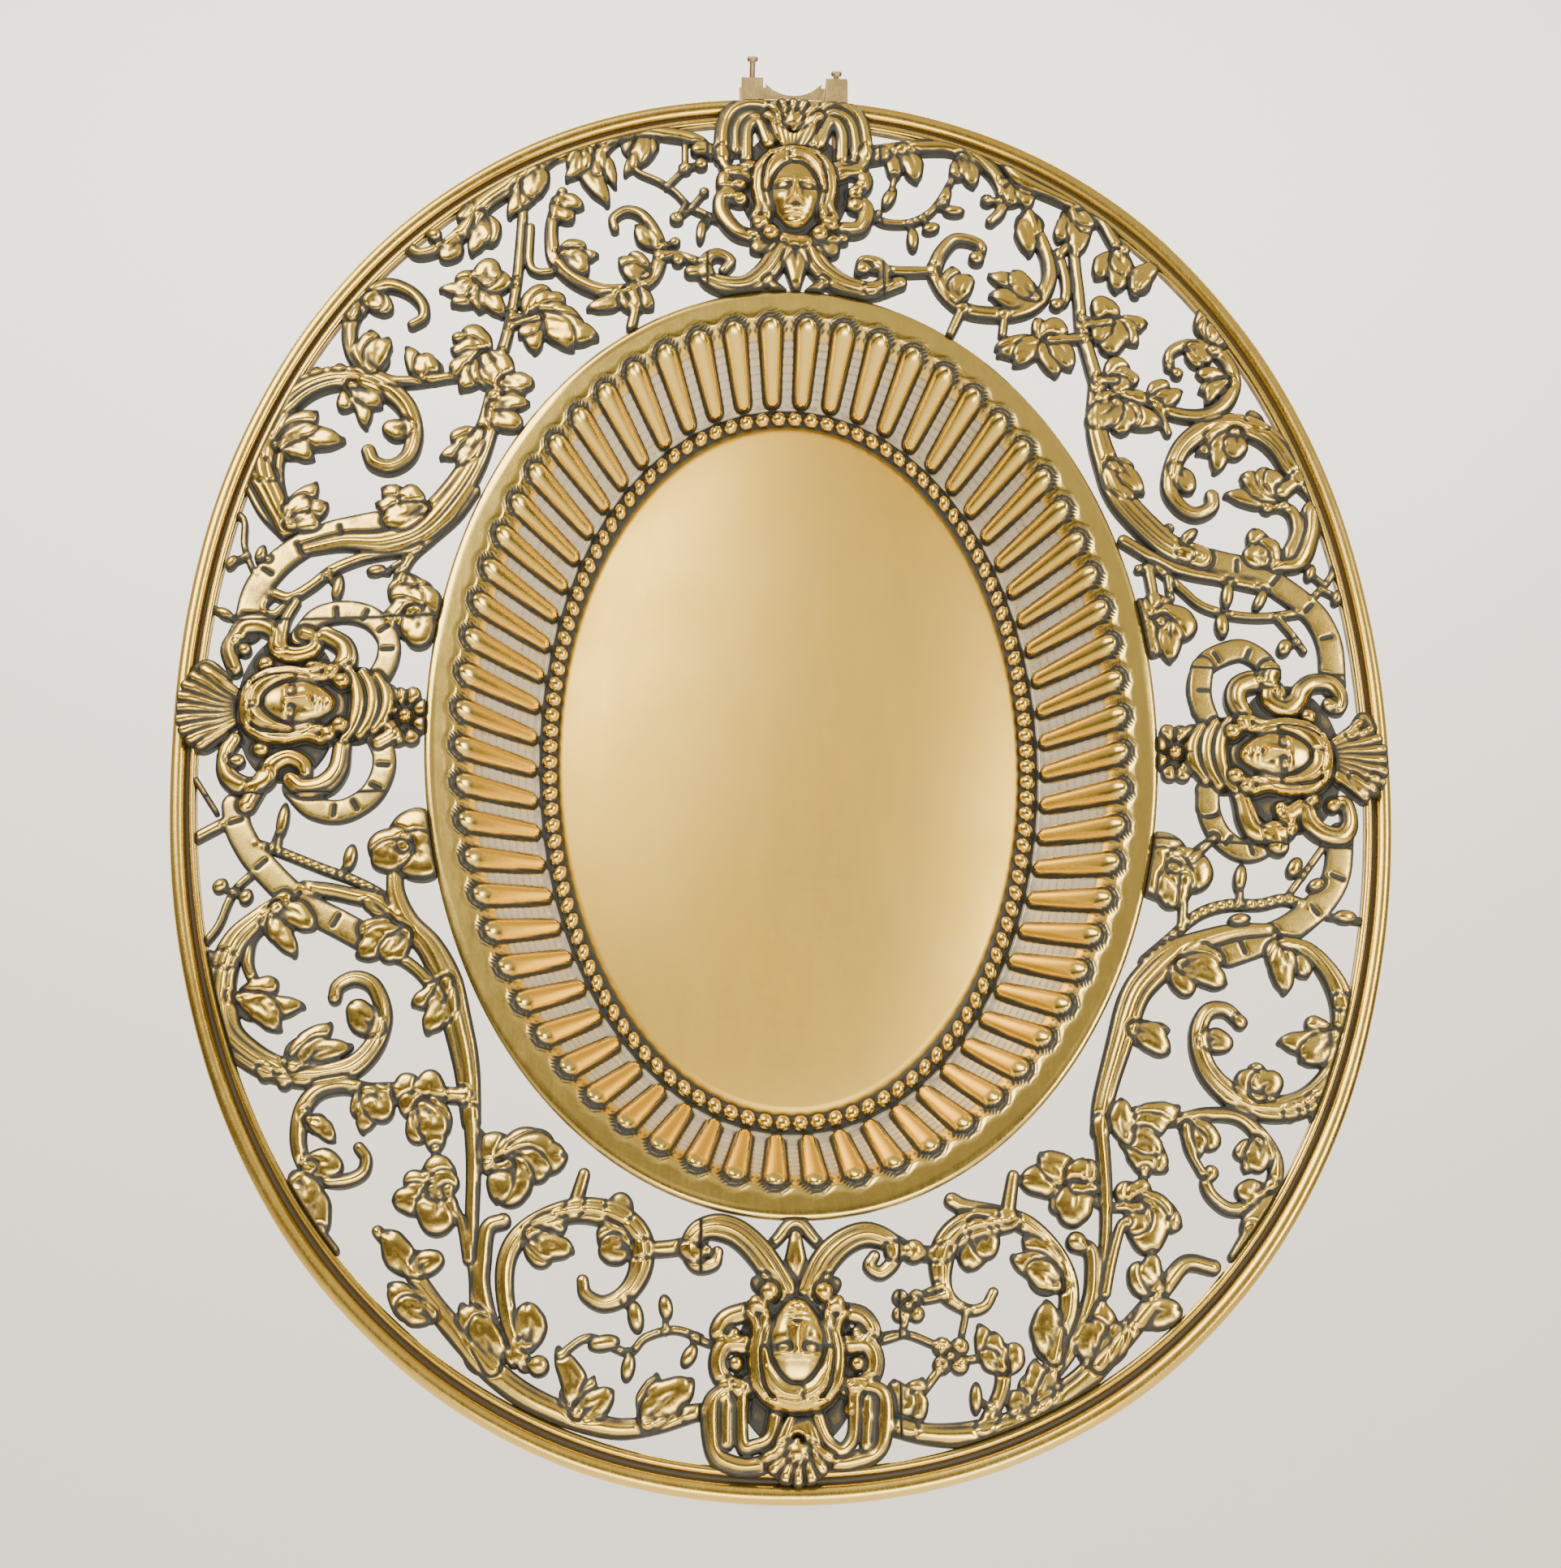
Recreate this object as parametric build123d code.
"""Pierced brass wall plaque with four masks, on a ring and a two-nail picture hook.

Ornament is drawn flat (x to the right, y up, z towards the viewer, z = 0 at the rim's front),
then turned upright: +Z up, the wall at Y = 0, the plaque's face towards -Y.
The origin is on the hook's back, where it lies on the wall.
"""
from build123d import *
import math
import os

# plaque
plaque_width = 355.0
plaque_height = 435.6
rim_side = 8.0            # width of the rim moulding at the sides
rim_end = 9.3             # and at the top and bottom
rim_depth = 4.5
groove_width = 1.6
groove_depth = 1.8
fillet_width = 1.9        # narrow inner moulding inside the groove
rim_fullness = 2.16       # 2 is an ellipse, more is squarer

# dished pan
pan_width = 212.0
pan_height = 287.0
pan_shift = (2.0, 1.0)    # the pan sits a little off the rim's centre
pan_fullness = 2.05
pan_front = 7.0           # band's face in front of the rim
pan_wall = 2.0
band_side = 6.5
band_end = 7.5
band_thick = 3.2
gadroon_side = 25.5       # run of the sloping wall
gadroon_end = 21.5
pan_depth = 23.5
ledge_width = 12.0        # flat seat inside the wall for beads and well plate
bead_diameter = 4.0
bead_inset = 1.5
well_rise = 9.0
well_wall = 1.5
well_cut = 0.6            # how far up its ball the dome is cut off, 1 being the top
seat_gap = 0.1

# pierced border
border_front = 4.4        # face of the castings in front of the rim
border_wall = 5.2
drawn_pan = (106.0, 143.5)     # half sizes that the pattern sheet was drawn for
drawn_rim = (169.5, 208.5)

# masks
mask_zone = 27.0          # half width of the border that each mask casting fills
head_length = 30.0
head_width = 18.0
head_sunk = 1.0           # the egg's middle lies this far under the casting's face
head_back = 1.0           # and the egg is cut flat at this height
head_place = 0.56         # head's middle as a share of the way from pan to rim
crest_place = 0.78
crest_rib = (1.6, 14.0, 5.0)
crest_lift = 1.5
crest_reach = 9.0         # from the point the ribs fan out from to a rib's middle
crest_angle = 7.0         # between ribs
crest_side_ribs = 3
axis_top = 4.0
axis_bottom = 3.0
axis_left = 8.0
axis_right = -5.0

# hanger
hook_side = 5.0           # hook and ring stand this far right of the plaque's centre
hook_above = 223.5        # hook's origin above the plaque's centre
wall_gap = 0.3            # pan's back to the wall
sheet = 1.2
hook_width = 35.0
strap_width = 12.0
scoop_width = 18.0
scoop_top = 10.3
scoop_low = 5.7
plate_side_top = 8.6
trough_gap = 4.4
lip_top = -7.0
guide_width = 7.0
guide_depth = 7.3
guide_top = 7.6
guide_height = 11.0
guide_pitch = 27.0
guide_sheet = 1.0
nail_diameter = 1.8
nail_length = 30.0
nail_head = 3.5
nail_head_thick = 1.6
nail_clearance = 0.05
left_nail_stand = 5.0     # how far each head stands above its guide
right_nail_stand = 2.0
ring_diameter = 22.0
ring_wire = 2.4
ring_clearance = 0.3
ring_below = 22.0         # ring's centre under the hook's origin
eye_length = 5.0
eye_clearance = 1.0
eye_sag = 0.3
eye_wall = 1.2
foot_width = 10.0
foot_height = 17.0
pad_margin = 2.0
pad_back = 4.4            # flat pad on the top mask's back, behind the rim's front
rivet_diameter = 2.4
rivet_head = 4.4
rivet_pitch = 9.0

rim_half = (plaque_width / 2 - rim_side, plaque_height / 2 - rim_end)
pan_half = (pan_width / 2, pan_height / 2)
gadroon_half = (pan_half[0] - band_side, pan_half[1] - band_end)
floor_half = (gadroon_half[0] - gadroon_side, gadroon_half[1] - gadroon_end)
bead_half = (floor_half[0] - bead_inset, floor_half[1] - bead_inset)
well_half = (bead_half[0] - bead_diameter - seat_gap, bead_half[1] - bead_diameter - seat_gap)
floor_level = pan_front - pan_depth
stand_off = pan_depth - pan_front + pan_wall + wall_gap
pan_centre = Pos(pan_shift[0], pan_shift[1], 0)


def oval(half, fullness, grow=0.0, count=24):
    """Closed smooth oval; its fullness sets how square the shoulders are."""
    points = []
    for step in range(count):
        turn = 2 * math.pi * step / count
        cosine, sine = math.cos(turn), math.sin(turn)
        across = math.copysign(abs(cosine) ** (2 / fullness), cosine)
        along = math.copysign(abs(sine) ** (2 / fullness), sine)
        points.append(((half[0] + grow) * across, (half[1] + grow) * along))
    return Wire([Edge.make_spline([Vector(*p) for p in points], periodic=True)])


def facing(edges):
    """Flat face inside the edges, its front towards the viewer."""
    face = Face(Wire(edges))
    return face if face.normal_at().Z > 0 else -face


def slab(flat, low, high):
    """The flat shape as a solid between two levels."""
    solids = [Solid.extrude(face, Vector(0, 0, high - low)) for face in flat.faces()]
    solid = solids[0] if len(solids) == 1 else Part() + solids
    return Pos(0, 0, low) * solid


def upright(shape):
    """From the drawing board to the wall."""
    return Pos(-hook_side, -stand_off, -hook_above) * (Rot(90, 0, 0) * shape)


def reach(half, fullness, across, along):
    """Distance from the centre to an oval in a unit direction."""
    return (abs(across / half[0]) ** fullness + abs(along / half[1]) ** fullness) ** (-1 / fullness)


def fit(x, y):
    """Moves a point of the pattern sheet to the real border, between the real pan and rim."""
    length = math.hypot(x, y)
    dx, dy = x / length, y / length
    near = reach(drawn_pan, pan_fullness, dx, dy)
    share = (length - near) / (reach(drawn_rim, rim_fullness, dx, dy) - near)
    dx, dy = dx * rim_half[0] / drawn_rim[0], dy * rim_half[1] / drawn_rim[1]
    length = math.hypot(dx, dy)
    dx, dy = dx / length, dy / length
    near = reach(pan_half, pan_fullness, dx, dy)
    length = near + share * (reach(rim_half, rim_fullness, dx, dy) - near)
    return dx * length, dy * length


def ribbon(points, first, last, middle=None):
    """Tapering round-ended strip along a smooth line through the points."""
    middle = (first + last) / 2 if middle is None else middle
    line = Spline(*[fit(x, y) for x, y in points])
    steps = len(points) + 3
    left, right = [], []
    for step in range(steps + 1):
        t = step / steps
        if t < 0.5:
            half = (first + (middle - first) * 2 * t) / 2
        else:
            half = (middle + (last - middle) * (2 * t - 1)) / 2
        place, along = line @ t, line % t
        side = Vector(-along.Y, along.X) * half
        left.append(place + side)
        right.append(place - side)
    start_tip = line @ 0 - (line % 0) * (first / 2)
    end_tip = line @ 1 + (line % 1) * (last / 2)
    edges = [
        Spline(*left),
        ThreePointArc(left[-1], end_tip, right[-1]),
        Spline(*reversed(right)),
        ThreePointArc(right[0], start_tip, left[0]),
    ]
    return facing(edges)


def leaf(x, y, length, width, turn=0.0):
    """Plain oval lobe."""
    return Pos(*fit(x, y)) * (Rot(0, 0, turn) * Face(Wire([Ellipse(length / 2, width / 2).edge()])))


def scroll_quarter():
    """Strips and lobes of one quarter of the border, drawn for the upper right."""
    strips = [
        # flat strap from the side mask, running into the thick stem beside the pan
        ([(162, 12), (163, 28), (159, 42), (147, 53), (130, 58), (113, 60), (102, 71), (96, 88)], 7, 7, 8),
        ([(96, 86), (94, 105), (93, 130), (89, 150), (86, 172), (90, 186)], 6, 4, 4),
        ([(104, 40), (108, 50), (101, 62), (93, 78)], 4, 5, 4),
        # ring strap beside the mask, with its tie to the rosette
        ([(141, 17), (140, 25), (133, 29), (125, 27), (121, 19), (123, 9)], 6, 6, 6),
        ([(106, 37), (112, 30), (122, 24)], 6, 3, 4),
        ([(108, 54), (122, 44), (138, 41), (152, 44), (160, 40)], 3, 3, 3),
        ([(130, 43), (130, 30)], 3, 3, 3),
        ([(143, 27), (150, 31), (151, 43)], 3, 3, 3),
        ([(157, 47), (164, 47), (173, 48)], 3, 3, 3),
        # large and small C-scrolls
        ([(150, 54), (157, 66), (158, 84), (151, 98), (137, 104), (123, 99), (116, 87), (118, 75),
          (126, 72), (130, 78)], 6, 4, 6),
        ([(158, 70), (163, 76), (168, 78)], 5, 5, 5),
        ([(100, 106), (110, 107), (122, 106), (132, 109), (137, 118), (134, 127), (125, 129),
          (119, 124), (120, 119)], 4, 4, 4),
        ([(133, 127), (137, 134), (146, 138)], 4, 6, 4),
        # inner round scroll
        ([(61, 159), (59, 166), (52, 165), (47, 156), (51, 145), (62, 139), (75, 142), (82, 152),
          (81, 166), (78, 178), (84, 190), (88, 196)], 4, 6, 5),
        # acanthus beside the rim, from the top mask round to the upper stem
        ([(27, 192), (38, 199), (52, 200), (66, 196), (80, 194), (92, 182), (99, 168), (108, 158),
          (118, 150), (128, 146)], 5, 6, 6),
        ([(66, 196), (70, 184), (65, 173)], 6, 3, 4),
        ([(27, 176), (35, 171), (42, 173), (49, 180), (55, 197)], 3, 3, 3),
        ([(41, 173), (40, 160)], 3, 3, 4),
        ([(30, 152), (39, 153), (48, 152)], 3, 4, 3),
        # stalks to the ivy leaves and to the leaves inside the large scroll
        ([(93, 122), (98, 130), (105, 135)], 4, 5, 5),
        ([(157, 80), (150, 81), (143, 83)], 5, 5, 6),
        ([(92, 128), (82, 128), (70, 126)], 3, 5, 6),
        ([(53, 143), (46, 134), (40, 128)], 4, 4, 4),
    ]
    lobes = [
        (84, 121, 11, 8, 80), (82, 135, 11, 8, 100), (70, 126, 13, 10, 0),
        (102, 118, 14, 10, 20), (103, 134, 16, 10, 15), (98, 141, 10, 8, 80), (108, 108, 15, 10, -10),
        (100, 104, 12, 9, 60), (89, 168, 16, 10, 60), (77, 186, 14, 9, 60), (107, 158, 14, 9, 60),
        (145, 60, 14, 9, 20), (141, 65, 8, 8, 0), (144, 84, 20, 8, 10), (147, 77, 12, 7, 10),
        (132, 97, 12, 9, 20), (121, 83, 9, 7, 30), (54, 152, 14, 9, 60), (68, 143, 14, 9, 30),
        (35, 193, 9, 7, 90), (44, 195, 9, 8, 90), (118, 66, 8, 8, 0), (118, 59, 9, 8, 0),
        (109, 37, 15, 13, 40), (132, 118, 13, 8, 30), (103, 84, 15, 9, 60), (84, 150, 14, 6, 90),
    ]
    return [ribbon(*strip) for strip in strips] + [leaf(*lobe) for lobe in lobes]


def mask_parts(side_way):
    """Strips and lobes of one mask casting, in its own strip: across, and out from the pan's edge."""
    strips = []
    lobes = [(0, 40, 42, 28, 90), (0, 60, 26, 20, 90)]
    for way in (-1, 1):
        strips.append(([(3 * way, 16), (9 * way, 8), (17 * way, 4), (25 * way, 7), (29 * way, 10)], 6, 5, 6))
        strips.append(([(5 * way, 54), (7 * way, 62), (14 * way, 66), (20 * way, 60), (21 * way, 48)], 5, 5, 5))
        strips.append(([(8 * way, 20), (16 * way, 26), (15 * way, 36), (10 * way, 42)], 5, 5, 6))
        strips.append(([(12 * way, 34), (21 * way, 44), (30 * way, 46)], 4, 4, 4))
        strips.append(([(14 * way, 28), (22 * way, 30), (30 * way, 32)], 4, 4, 4))
    strips.append(([(0, -6), (0, 8), (0, 24)], 9, 9, 7))
    if side_way:
        lobes.append((0, 2, 22, 16, 0))
    return strips, lobes


def mask_outline(turn, axis, side_way):
    """The same pieces laid on the pattern sheet at one of the four places."""
    start = drawn_pan[0] if side_way else drawn_pan[1]

    def lay(across, out):
        points = {0: (axis + across, start + out), 180: (axis + across, -start - out),
                  90: (-start - out, axis + across), 270: (start + out, axis + across)}
        return points[turn]

    strips, lobes = mask_parts(side_way)
    shapes = [ribbon([lay(*point) for point in points], *widths) for points, *widths in strips]
    for across, out, length, width, tilt in lobes:
        shapes.append(leaf(*lay(across, out), length, width, tilt + (90 if side_way else 0)))
    return shapes


def border_area():
    """The flat ring between the pan and the rim."""
    hole = pan_centre * Face(oval(pan_half, pan_fullness))
    return Face(oval(rim_half, rim_fullness)) - hole


def zone(turn, axis):
    """Region of the border that belongs to one mask."""
    far = max(plaque_width, plaque_height)
    middle = {0: (axis, far / 2), 180: (axis, -far / 2), 90: (-far / 2, axis), 270: (far / 2, axis)}[turn]
    size = (2 * mask_zone, far) if turn in (0, 180) else (far, 2 * mask_zone)
    return Pos(*middle) * Rectangle(*size)


def casting(flat):
    """A flat shape of the border as a casting."""
    return slab(flat, border_front - border_wall, border_front)


zones = {"top": (0, axis_top), "bottom": (180, axis_bottom), "left": (90, axis_left), "right": (270, axis_right)}


def scroll_panels():
    """Four corner castings."""
    drawn = Sketch() + scroll_quarter()
    area = border_area()
    clear = Sketch() + [zone(*place) for place in zones.values()]
    panels = {}
    for name, across, along in (("upper_right", 1, 1), ("upper_left", -1, 1),
                                ("lower_left", -1, -1), ("lower_right", 1, -1)):
        quarter = drawn
        if across < 0:
            quarter = mirror(quarter, about=Plane.YZ)
        if along < 0:
            quarter = mirror(quarter, about=Plane.XZ)
        corner = Pos(across * plaque_width / 2, along * plaque_height / 2) * Rectangle(plaque_width, plaque_height)
        panels["scroll_panel_" + name] = casting((quarter & area & corner) - clear)
    return panels


def head(turn, axis, side_way):
    """Plain egg-shaped head with a crest of seven ribs, standing on the casting."""
    start, gap = (pan_half[0], rim_half[0] - pan_half[0]) if side_way else (pan_half[1], rim_half[1] - pan_half[1])
    egg = Ellipse(head_width / 2, head_length / 2) & Pos(head_width / 2, 0) * Rectangle(head_width, head_length)
    body = revolve(egg, axis=Axis.Y, revolution_arc=360)
    body = Pos(0, gap * head_place, border_front - head_sunk) * body
    raised = Pos(0, gap / 2, border_front - head_back + head_length / 2) * Box(head_width * 2, gap * 2, head_length)
    parts = [body & raised]
    for rib in range(-crest_side_ribs, crest_side_ribs + 1):
        spoke = Rot(0, 0, -rib * crest_angle) * (Pos(0, crest_reach, 0) * Box(*crest_rib))
        parts.append(Pos(0, gap * crest_place, border_front + crest_lift) * spoke)
    solid = parts[0] + parts[1:]
    place = {0: (axis, start), 180: (axis, -start), 90: (-start, axis), 270: (start, axis)}[turn]
    return Pos(place[0], place[1], 0) * (Rot(0, 0, turn) * solid)


def hanger_pad():
    """Flat pad behind the top mask that the bracket's foot lies on."""
    width, height = foot_width + pad_margin, foot_height + pad_margin
    top = -pad_back
    return Pos(0, foot_centre(), (top + 2.0) / 2) * Box(width, height, 2.0 - top)


def foot_centre():
    """Height of the bracket's foot on the drawing board."""
    eye_bottom = hook_above - ring_below - ring_diameter / 2 - eye_sag - eye_outer()
    return eye_bottom + sheet - foot_height / 2


def eye_outer():
    return ring_wire / 2 + eye_clearance + eye_wall


def masks():
    """Four mask castings."""
    area = border_area()
    solids = {}
    for name, (turn, axis) in zones.items():
        side_way = turn in (90, 270)
        flat = (Sketch() + mask_outline(turn, axis, side_way)) & area & zone(turn, axis)
        solid = casting(flat) + head(turn, axis, side_way)
        if name == "top":
            solid = solid + Pos(hook_side, 0, 0) * hanger_pad()
            for hole in rivet_places():
                solid = solid - hole * Cylinder(rivet_diameter / 2, 2 * rivet_hole_depth)
        solids["mask_" + name] = solid
    return solids


def rim():
    """Rim moulding: an outer roll and a fine inner moulding with a groove between."""
    inner = Face(oval(rim_half, rim_fullness))
    outer = Face(oval((plaque_width / 2, plaque_height / 2), rim_fullness))
    ring = slab(outer - inner, -rim_depth, 0)
    groove = Face(oval(rim_half, rim_fullness, fillet_width + groove_width)) - Face(
        oval(rim_half, rim_fullness, fillet_width))
    return ring - slab(groove, -groove_depth, 1)


def pan():
    """Dished pan: flat band, sloping wall and the ledge that carries beads and well plate."""
    band = slab(Face(oval(pan_half, pan_fullness)), pan_front - band_thick, pan_front)
    wall = Solid.make_loft(
        [
            oval(gadroon_half, pan_fullness, pan_wall).moved(Location((0, 0, pan_front - pan_wall))),
            oval(floor_half, pan_fullness, pan_wall).moved(Location((0, 0, floor_level - pan_wall))),
        ],
        ruled=True,
    )
    hollow = Solid.make_loft(
        [
            oval(gadroon_half, pan_fullness).moved(Location((0, 0, pan_front))),
            oval(floor_half, pan_fullness).moved(Location((0, 0, floor_level))),
        ],
        ruled=True,
    )
    opening = slab(Face(oval(floor_half, pan_fullness, -ledge_width)), floor_level - 2 * pan_wall, floor_level + 1)
    return pan_centre * (band + wall - hollow - opening)


def bead_row():
    """Row of beads, kept as one rounded oval moulding."""
    ring = Face(oval(bead_half, pan_fullness)) - Face(oval(bead_half, pan_fullness, -bead_diameter))
    body = slab(ring, floor_level, floor_level + bead_diameter / 2)
    crest = body.faces().sort_by(Axis.Z)[-1]
    return pan_centre * fillet(crest.edges(), radius=bead_diameter * 0.3)


def well():
    """Domed oval plate inside the beads."""
    base = math.sqrt(1 - well_cut ** 2)
    stretch = (well_half[0] / base, well_half[1] / base, well_rise / (1 - well_cut))
    cap = Sphere(1) & Pos(0, 0, well_cut + 1) * Box(3, 3, 2)
    dome = Pos(0, 0, -well_cut * stretch[2]) * scale(cap, by=stretch)
    shell = dome - Pos(0, 0, -well_wall) * dome
    return pan_centre * (Pos(0, 0, floor_level) * shell)


ring_centre = Vector(0, -sheet - trough_gap / 2, -ring_below)
rivet_hole_depth = 3.0


def rivet_places():
    """Where the bracket's two rivets enter the pad, on the drawing board."""
    return [Pos(hook_side, foot_centre() + way * rivet_pitch / 2, -pad_back) for way in (-0.5, 1)]


def hanging_ring():
    """Split-free wire ring."""
    return Pos(*ring_centre) * (Rot(90, 0, 0) * Torus(ring_diameter / 2, ring_wire / 2))


def bracket():
    """Strip with a rolled eye for the ring and a foot riveted behind the top mask."""
    back = -pad_back                       # drawing-board level of the pad
    eye_level = -(stand_off + ring_centre.Y)
    eye_height = hook_above - ring_below - ring_diameter / 2 - eye_sag
    foot = Pos(0, foot_centre(), back - sheet / 2) * Box(foot_width, foot_height, sheet)
    arm_reach = back - eye_level
    arm = Pos(0, foot_centre() + foot_height / 2 - sheet / 2, back - arm_reach / 2)
    arm = arm * Box(eye_length, sheet, arm_reach)
    eye = Rot(0, 90, 0) * (Cylinder(eye_outer(), eye_length) - Cylinder(eye_outer() - eye_wall, 2 * eye_length))
    hole = Rot(0, 90, 0) * Cylinder(eye_outer() - eye_wall, 2 * eye_length)
    body = foot + arm + Pos(0, eye_height, eye_level) * eye - Pos(0, eye_height, eye_level) * hole
    body = Pos(hook_side, 0, 0) * body
    for place in rivet_places():
        body = body - place * Cylinder(rivet_diameter / 2, 4 * sheet)
    return body


def rivets():
    """Two round-headed rivets through the bracket's foot into the pad."""
    solids = []
    for place in rivet_places():
        shank = Pos(0, 0, (rivet_hole_depth - sheet) / 2) * Cylinder(rivet_diameter / 2, rivet_hole_depth + sheet)
        dome = Sphere(rivet_head / 2) & Pos(0, 0, -rivet_head / 2) * Box(rivet_head, rivet_head, rivet_head)
        dome = Pos(0, 0, -sheet) * scale(dome, by=(1, 1, 0.6))
        solids.append(place * (shank + dome))
    return Compound(solids)


def nail_line(side, stand):
    """Location at a nail's head seat, with +Z running down the shank into the wall."""
    seat_y = -sheet - guide_depth / 2 - stand
    seat_z = guide_top + stand
    return Pos(side * guide_pitch / 2, seat_y, seat_z) * Rot(-135, 0, 0)


def wall_hook():
    """Folded sheet hook: scooped plate, J-shaped strap and two box-shaped nail guides."""
    half, strap, scoop = hook_width / 2, strap_width / 2, scoop_width / 2
    bend = -ring_below + seat_rise() + trough_gap / 2
    edge = [
        Line((-half, -3), (-half, plate_side_top)),
        Line((-half, plate_side_top), (-scoop, plate_side_top)),
        Line((-scoop, plate_side_top), (-scoop, scoop_top)),
        ThreePointArc((-scoop, scoop_top), (0, scoop_low), (scoop, scoop_top)),
        Line((scoop, scoop_top), (scoop, plate_side_top)),
        Line((scoop, plate_side_top), (half, plate_side_top)),
        Line((half, plate_side_top), (half, -3)),
        Line((half, -3), (strap, -8)),
        Line((strap, -8), (strap, bend)),
        Line((strap, bend), (-strap, bend)),
        Line((-strap, bend), (-strap, -8)),
        Line((-strap, -8), (-half, -3)),
    ]
    plate = Rot(90, 0, 0) * slab(facing(edge), 0, sheet)
    middle = -sheet - trough_gap / 2
    outer = Cylinder(trough_gap / 2 + sheet, strap_width) - Cylinder(trough_gap / 2, 2 * strap_width)
    outer = Pos(0, middle, bend) * (Rot(0, 90, 0) * outer)
    lower = Pos(0, middle, bend - trough_gap) * Box(strap_width, 4 * trough_gap, 2 * trough_gap)
    lip_height = lip_top - bend
    lip = Pos(0, middle - trough_gap / 2 - sheet / 2, bend + lip_height / 2) * Box(strap_width, sheet, lip_height)
    body = plate + (outer & lower) + lip
    for side in (-1, 1):
        body = body + Pos(side * guide_pitch / 2, 0, 0) * nail_guide()
    for side, stand in ((-1, left_nail_stand), (1, right_nail_stand)):
        hole = Cylinder(nail_diameter / 2 + nail_clearance, 2 * guide_depth + stand * 3)
        top_only = Pos(side * guide_pitch / 2, -sheet - guide_depth / 2, guide_top) * Box(guide_width, guide_depth, 6)
        body = body - ((nail_line(side, stand) * hole) & top_only)
        body = body - Pos(side * guide_pitch / 2, 0, 0) * nail_slot()
    return body


def seat_rise():
    """How far above the ring's centre the strap's corners hold it."""
    inner = ring_diameter / 2 - ring_wire / 2
    return math.sqrt(inner ** 2 - (strap_width / 2) ** 2) - ring_clearance


def nail_guide():
    """Box-shaped fold in front of the plate, open at its sides."""
    low = guide_top - guide_height
    middle = -sheet - guide_depth / 2
    top = Pos(0, middle, guide_top - guide_sheet / 2) * Box(guide_width, guide_depth, guide_sheet)
    foot = Pos(0, middle, low + guide_sheet / 2) * Box(guide_width, guide_depth, guide_sheet)
    face = Pos(0, -sheet - guide_depth + guide_sheet / 2, low + guide_height / 2)
    face = face * Box(guide_width, guide_sheet, guide_height)
    return top + foot + face


def nail_slot():
    """Upright slot in the plate, long enough for the slanting nail."""
    lean = nail_diameter / 2 * math.sqrt(2)
    at_wall = guide_top - sheet - guide_depth / 2
    top = at_wall + sheet + lean + 2 * nail_clearance
    low = at_wall - 2.0 - lean - 0.3
    width = nail_diameter + 4 * nail_clearance
    return Pos(0, -sheet / 2, (top + low) / 2) * Box(width, 2 * sheet, top - low)


def nail(side, stand):
    """Hardened nail with a cylindrical head and a short point."""
    point = 2.5
    shank = Pos(0, 0, (nail_length - point) / 2) * Cylinder(nail_diameter / 2, nail_length - point)
    tip = Pos(0, 0, nail_length - point / 2) * Cone(nail_diameter / 2, 0.15, point)
    cap = Pos(0, 0, -nail_head_thick / 2) * Cylinder(nail_head / 2, nail_head_thick)
    cap = fillet(cap.edges(), radius=nail_head_thick * 0.3)
    return nail_line(side, stand) * (shank + tip + cap)


def main():
    os.makedirs("parts", exist_ok=True)
    pieces = {"rim_moulding": rim(), "dished_pan": pan(), "bead_ring": bead_row(), "well_plate": well()}
    pieces.update(scroll_panels())
    pieces.update(masks())
    pieces["hanger_bracket"] = bracket()
    pieces["bracket_rivets"] = rivets()
    pieces = {name: upright(shape) for name, shape in pieces.items()}
    pieces["hanging_ring"] = hanging_ring()
    pieces["wall_hook"] = wall_hook()
    pieces["nail_left"] = nail(-1, left_nail_stand)
    pieces["nail_right"] = nail(1, right_nail_stand)
    for name, shape in pieces.items():
        export_step(shape, "parts/" + name + ".step")


main()
